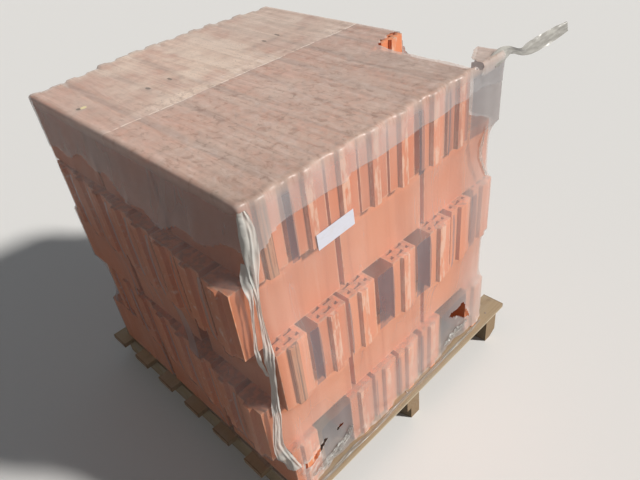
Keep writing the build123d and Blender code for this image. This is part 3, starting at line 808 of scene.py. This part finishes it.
# The second film lies over the top and hangs a hand's width down the walls: its front edge as x and z
SECOND_EDGE = np.array([
    (-0.70, 1.150), (-0.587, 1.165), (-0.560, 1.195), (-0.500, 1.240), (-0.440, 1.243), (-0.350, 1.245),
    (-0.255, 1.240), (-0.240, 1.255), (-0.100, 1.252), (0.030, 1.256), (0.200, 1.255), (0.230, 1.262),
    (0.300, 1.255), (0.345, 1.265), (0.400, 1.262), (0.470, 1.245), (0.60, 1.235),
])
cover = hood_blank()
cover_points = core + outward * (out + COVER_GAP)[:, None]
front_edge = np.interp(cover_points[:, 0], SECOND_EDGE[:, 0], SECOND_EDGE[:, 1])
left_edge = 1.178 + 0.022 * np.sin(cover_points[:, 1] * 9.0) + 0.012 * np.sin(cover_points[:, 1] * 31.0)
right_edge = 1.215 + 0.020 * np.sin(cover_points[:, 1] * 8.0 + 1.0)
back_edge = 1.190 + 0.020 * np.sin(cover_points[:, 0] * 10.0)
faces_front = outward[:, 1] < -0.6
faces_left = outward[:, 0] < -0.6
faces_right = outward[:, 0] > 0.6
lower = np.select([faces_front, faces_left, faces_right], [front_edge, left_edge, right_edge], back_edge)
above = cover_points[:, 2] - lower + np.where(on_top > 0.3, 1.0, 0.0)
# A whiter line along the second film's lower edge: the film's edge and a painted highlight
edge_white_highlight = 0.35 * np.maximum(0.0, 1.0 - np.abs(above) / 0.010)
set_points(cover, cover_points, slack, np.maximum(whitened_and_highlit, edge_white_highlight), on_top)
lift = np.zeros_like(points)
lift[:, 2] = -above
cut_out(cover, above, lift)
distance, moves = tears_in(np.array([vertex.co for vertex in cover.verts]), [HOLE])
whiten_rim(cover, distance)
cut_out(cover, distance, moves)
loose_points = [vertex for vertex in cover.verts if not vertex.link_faces]
bmesh.ops.delete(cover, geom=loose_points, context="VERTS")
film_cover = piece_from(cover, "film_over_top", COVER_FILM)


# Small loose pieces of film -------------------------------------------------------------------------


# Strips: how far places along the route are blurred, how far apart its direction is taken, and how far
# above the film they lie
STRIP_BLUR, STRIP_NEAR, STRIP_LIFT = 0.035, 0.01, 0.003


def ribbon(name, route, widths, turns, pleats, finish, rows=90, columns=14, onto=None):
    """A strip of film along a route, with a width and a turn about the route at each of its places.

    A turn of 0 has the strip facing the front and 90 facing up. The pleats are how many, how deep and how
    rough. With a surface to lie onto, the strip hugs that.
    """
    shape = bmesh.new()
    bmesh.ops.create_grid(shape, x_segments=rows, y_segments=columns, size=0.5)
    free_layer = shape.verts.layers.float.new("free")
    fold_layer = shape.verts.layers.float.new("fold")
    shape.verts.layers.float.new("top")
    route = np.array(route)
    lengths = np.concatenate([[0.0], np.cumsum(np.linalg.norm(np.diff(route, axis=0), axis=1))])
    stations = lengths / lengths[-1]

    def smooth(values, at):
        places = (at - STRIP_BLUR, at, at + STRIP_BLUR)
        taps = [np.interp(np.clip(place, 0, 1), stations, values) for place in places]
        return float(taps[0] * 0.25 + taps[1] * 0.5 + taps[2] * 0.25)

    def centre_at(at):
        return Vector([smooth(route[:, axis], at) for axis in range(3)])

    pleat_count, pleat_depth, roughness = pleats
    for vertex in shape.verts:
        at, over = vertex.co.x + 0.5, vertex.co.y
        centre = centre_at(at)
        run = centre_at(min(at + STRIP_NEAR, 1.0)) - centre_at(max(at - STRIP_NEAR, 0.0))
        run.normalize()
        turn = math.radians(smooth(turns, at))
        width = smooth(widths, at)
        facing = Vector((0.0, -1.0, 0.0))
        facing = (facing - run * facing.dot(run)).normalized()
        over_way = facing.cross(run)
        side = (over_way * math.cos(turn) + facing * math.sin(turn)).normalized()
        lift = run.cross(side)
        drift = noise.noise(Vector((at * 7.0, over * 2.0, 1.3)))
        depth = 0.6 + 0.8 * noise.noise(Vector((at * 9.0, over * 3.0, 7.7)))
        wave = math.sin(over * pleat_count * math.tau + 4.5 * drift) * depth
        rough = noise.noise(Vector((at * 26.0, over * 5.0, 4.0)))
        edge = 1.0 + 0.05 * noise.noise(Vector((at * 18.0, math.copysign(3.0, over), 9.0)))
        raised = wave * pleat_depth + rough * roughness
        if onto is None:
            vertex.co = centre + side * over * width * edge + lift * raised
        else:
            spot, away = onto.find_nearest(centre + side * over * width * edge)[:2]
            vertex.co = spot + away * (STRIP_LIFT + pleat_depth + raised)
        ragged = noise.noise(Vector((at * 12.0, over * 7.0, 2.0)))
        vertex[free_layer] = 0.5 + ragged
        # Folded film is whiter, and whiter still on the pleats' crests, where a painted highlight is added
        vertex[fold_layer] = 0.45 + 0.50 * max(0.0, wave) + 0.5 * ragged
    piece = piece_from(shape, name, finish)
    return piece


def route_seen(places):
    """Where lines from the camera through places in the picture first meet the film."""
    route = []
    for u, v in places:
        ray = CAMERA_TURN @ Vector(((u - PICTURE_MIDDLE[0]) / FOCUS, (PICTURE_MIDDLE[1] - v) / FOCUS, -1.0))
        route.append(film_surface.ray_cast(CAMERA_AT, ray.normalized())[0])
    return route


# The strip that stands out from the torn corner
TAIL_ROUTE = [
    (0.440, -0.612, 1.322), (0.480, -0.612, 1.334), (0.530, -0.606, 1.328), (0.597, -0.600, 1.308),
    (0.650, -0.600, 1.292), (0.700, -0.601, 1.287), (0.762, -0.605, 1.288), (0.837, -0.614, 1.295),
    (0.914, -0.626, 1.302),
]
TAIL_WIDTHS = (0.040, 0.046, 0.040, 0.020, 0.034, 0.046, 0.048, 0.046, 0.034)
TAIL_TURNS = (-25, -30, -20, 40, 5, -15, -20, -20, -15)
tail = ribbon("film_torn_strip", TAIL_ROUTE, TAIL_WIDTHS, TAIL_TURNS, (0.6, 0.0030, 0.0012), TAIL_FILM_DUSTY_SHADED)
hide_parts("film_tail")

# The gathered corner at the front left, from the top down to the hem, by its places in the picture
CORNER_SEEN = [
    (239.5, 207.0), (243.5, 217.0), (247.8, 230.0), (250.5, 245.0), (252.0, 260.0), (253.0, 275.0),
    (255.0, 291.0), (259.0, 314.0), (263.0, 330.0), (268.5, 352.0), (272.5, 371.0), (275.8, 400.0),
    (277.3, 428.0), (277.5, 444.0), (285.0, 457.0), (295.5, 471.0),
]
CORNER_WIDTHS = (0.008, 0.030, 0.040, 0.042, 0.042, 0.034, 0.014, 0.013, 0.015, 0.030, 0.027, 0.025, 0.026,
                 0.030, 0.048, 0.060)
ribbon("film_corner_gather", route_seen(CORNER_SEEN), CORNER_WIDTHS, (38,) * 16, (2.8, 0.0020, 0.0026),
       FOLDED_FILM, rows=240, columns=20, onto=film_surface)
STRAND_SEEN = [(244.5, 262.0), (246.5, 280.0), (250.5, 300.0), (253.6, 328.0), (256.0, 350.0), (262.0, 364.0),
               (269.0, 376.0)]
ribbon("film_corner_strand", route_seen(STRAND_SEEN), (0.020, 0.034, 0.010, 0.006, 0.012, 0.016, 0.014),
       (38,) * 7, (1.5, 0.0020, 0.0006), FOLDED_FILM, rows=120, columns=8,
       onto=film_surface)

# The fold under the torn corner
RIGHT_SEEN = [(485.5, 124.0), (481.0, 140.0), (479.3, 156.0), (482.5, 168.0), (485.5, 175.0)]
ribbon("film_corner_right", route_seen(RIGHT_SEEN), (0.012, 0.020, 0.024, 0.018, 0.010), (25,) * 5,
       (1.5, 0.0020, 0.0006), WORN_FILM, rows=90, columns=10, onto=film_surface)

# The worn, crumpled film under the left holes, the loops under the right one, and the hem on the deck
CRUMPLE_SEEN = [(313.0, 474.0), (320.0, 467.0), (328.0, 459.0), (335.5, 450.5), (342.0, 442.0), (348.0, 433.0),
                (351.0, 423.0)]
ribbon("film_crumple_left", route_seen(CRUMPLE_SEEN), (0.020, 0.040, 0.052, 0.054, 0.050, 0.036, 0.018),
       (20,) * 7, (2.6, 0.0028, 0.0034), WORN_FILM, rows=130, columns=24,
       onto=film_surface)
LOOP_SEEN = [(443.0, 345.0), (449.0, 336.5), (455.0, 330.5), (461.0, 325.0), (466.0, 318.0)]
ribbon("film_crumple_right", route_seen(LOOP_SEEN), (0.012, 0.034, 0.044, 0.034, 0.012), (20,) * 5,
       (2.4, 0.0028, 0.0034), WORN_FILM, rows=90, columns=16, onto=film_surface)
HEM_ROUTE = [
    (-0.606, -0.618, 0.1480), (-0.540, -0.624, 0.1475), (-0.450, -0.628, 0.1480), (-0.340, -0.621, 0.1485),
    (-0.250, -0.627, 0.1475), (-0.120, -0.625, 0.1480), (0.020, -0.622, 0.1475), (0.150, -0.624, 0.1480),
    (0.290, -0.619, 0.1480), (0.400, -0.622, 0.1475), (0.500, -0.616, 0.1480),
]
HEM_WIDTHS = (0.010, 0.016, 0.012, 0.018, 0.010, 0.014, 0.012, 0.015, 0.009, 0.012, 0.006)
HEM_TURNS = (80, 98, 78, 96, 74, 98, 82, 98, 80, 99, 90)
ribbon("film_hem", HEM_ROUTE, HEM_WIDTHS, HEM_TURNS, (1.0, 0.0014, 0.0022), WORN_FILM,
       rows=220, columns=8)


# Nails of the pallet --------------------------------------------------------------------------------

NAIL_LIFT = 0.0006
# The deck is bare past these, to the right and at the front and back
BARE_FROM_X, BARE_FROM_Y = 0.52, 0.605

nails = bmesh.new()
for board in range(7):
    for bearer_x in BEARERS_AT:
        for beside in (-0.022, 0.024):
            y = FIRST_BOARD + board * BOARD_PITCH + beside
            spot = Vector((bearer_x + beside * 0.6, y, DECK_TOP + NAIL_LIFT))
            # No nails where the bricks stand
            if spot.x < BARE_FROM_X and abs(spot.y) < BARE_FROM_Y:
                continue
            place = Matrix.Translation(spot) @ Matrix.Rotation(0.12, 4, "X")
            bmesh.ops.create_cone(nails, cap_ends=True, segments=14, radius1=0.0043, radius2=0.0036,
                                  depth=0.0016, matrix=place)
piece_from(nails, "deck_nails", NAIL_STEEL)


# Floor, light and camera ----------------------------------------------------------------------------

# The floor looks pale, but throws back only as much light as dark ground does
PALE = (0.80, 0.80, 0.79)
BOUNCE = (0.21, 0.20, 0.19)
ground = Finish("floor")
looked_at = 0.0
for way in ("Is Camera Ray", "Is Glossy Ray", "Is Transmission Ray"):
    looked_at = ground.add("ShaderNodeLightPath", output=way).most(looked_at)
floor_colour = ground.mix(looked_at, BOUNCE, PALE)
ground_shader = ground.add("ShaderNodeBsdfPrincipled", inputs={"Base Color": floor_colour, "Roughness": 0.9})
ground.add_output(ground_shader)
floor_shape = bmesh.new()
bmesh.ops.create_grid(floor_shape, x_segments=1, y_segments=1, size=14.0)
floor_mesh = bpy.data.meshes.new("floor")
floor_shape.to_mesh(floor_mesh)
floor_shape.free()
floor = bpy.data.objects.new("floor", floor_mesh)
floor_mesh.materials.append(ground.material)
bpy.context.scene.collection.objects.link(floor)

# The background looks pale as well, and the room lights the object faintly
world = bpy.data.worlds.new("studio")
bpy.context.scene.world = world
world.use_nodes = True
nodes, links = world.node_tree.nodes, world.node_tree.links
room = nodes["Background"]
room.inputs["Color"].default_value = (0.93, 0.96, 1.0, 1.0)
room.inputs["Strength"].default_value = 0.15
seen = nodes.new("ShaderNodeBackground")
seen.inputs["Color"].default_value = (0.86, 0.86, 0.86, 1.0)
seen.inputs["Strength"].default_value = 1.0
paths = nodes.new("ShaderNodeLightPath")
either, any_way = nodes.new("ShaderNodeMath"), nodes.new("ShaderNodeMath")
either.operation = any_way.operation = "MAXIMUM"
links.new(paths.outputs["Is Camera Ray"], either.inputs[0])
links.new(paths.outputs["Is Glossy Ray"], either.inputs[1])
links.new(either.outputs[0], any_way.inputs[0])
links.new(paths.outputs["Is Transmission Ray"], any_way.inputs[1])
choice = nodes.new("ShaderNodeMixShader")
links.new(any_way.outputs[0], choice.inputs[0])
links.new(room.outputs[0], choice.inputs[1])
links.new(seen.outputs[0], choice.inputs[2])
links.new(choice.outputs[0], nodes["World Output"].inputs["Surface"])

# A sun from the front right, a little warm and soft
lamp = bpy.data.lights.new("key_light", "SUN")
lamp.energy = 3.95
lamp.angle = math.radians(6.0)
lamp.color = (1.0, 0.965, 0.92)
light = bpy.data.objects.new("key_light", lamp)
light.rotation_euler = Vector((0.58, -0.90, 0.80)).to_track_quat("Z", "Y").to_euler()
bpy.context.scene.collection.objects.link(light)

camera_data = bpy.data.cameras.new("camera")
camera_data.lens = 32.54
camera_data.sensor_width = 36.0
camera = bpy.data.objects.new("camera", camera_data)
camera.matrix_world = Matrix.Translation(CAMERA_AT) @ CAMERA_TURN.to_4x4()
bpy.context.scene.collection.objects.link(camera)
bpy.context.scene.camera = camera

bpy.context.scene.view_settings.view_transform = "Standard"

bpy.context.view_layer.update()
